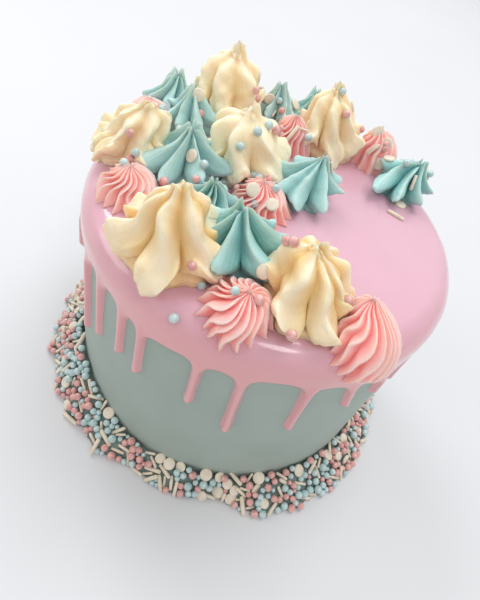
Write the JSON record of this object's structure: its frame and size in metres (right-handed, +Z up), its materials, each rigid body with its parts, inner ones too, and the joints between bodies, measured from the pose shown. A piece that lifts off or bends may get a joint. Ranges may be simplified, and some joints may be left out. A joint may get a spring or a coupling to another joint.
{
  "type": "birthday cake",
  "caption": "Tall round cake in pale blue buttercream with a pink drip glaze, a crescent of piped dollops on top and a band of sprinkles round its foot.",
  "frame": {"origin": "on the floor under the middle of the cake", "axes": "+Z up, -Y towards the front, where the two tall cream dollops stand near the rim"},
  "size_m": [0.1982, 0.195, 0.1508],
  "materials": {
    "blue_buttercream": "smooth satin buttercream, grey pale blue",
    "pink_glaze": "thick semi-gloss glaze, soft pink",
    "cream_buttercream": "soft satin buttercream, cream",
    "teal_buttercream": "soft satin buttercream, muted teal",
    "pink_buttercream": "soft satin buttercream, salmon pink",
    "sprinkles": "sugar pearls, confetti discs and rods in pink, pale blue and ivory"
  },
  "bodies": {
    "root": {"cake": "blue_buttercream", "pink_glaze": "pink_glaze", "sprinkle_band": "sprinkles", "cream_front_left": "cream_buttercream", "cream_front_right": "cream_buttercream", "cream_mid": "cream_buttercream", "cream_back": "cream_buttercream", "cream_left": "cream_buttercream", "cream_right_back": "cream_buttercream", "teal_front": "teal_buttercream", "teal_left_mid": "teal_buttercream", "teal_right_mid": "teal_buttercream", "teal_right": "teal_buttercream", "teal_back_inner": "teal_buttercream", "teal_back_left": "teal_buttercream", "teal_back": "teal_buttercream", "teal_far": "teal_buttercream", "teal_low": "teal_buttercream", "pink_front": "pink_buttercream", "pink_front_right": "pink_buttercream", "pink_left": "pink_buttercream", "pink_mid": "pink_buttercream", "pink_mid_back": "pink_buttercream", "pink_right": "pink_buttercream", "pink_left_back": "pink_buttercream"}
  },
  "joints": []
}
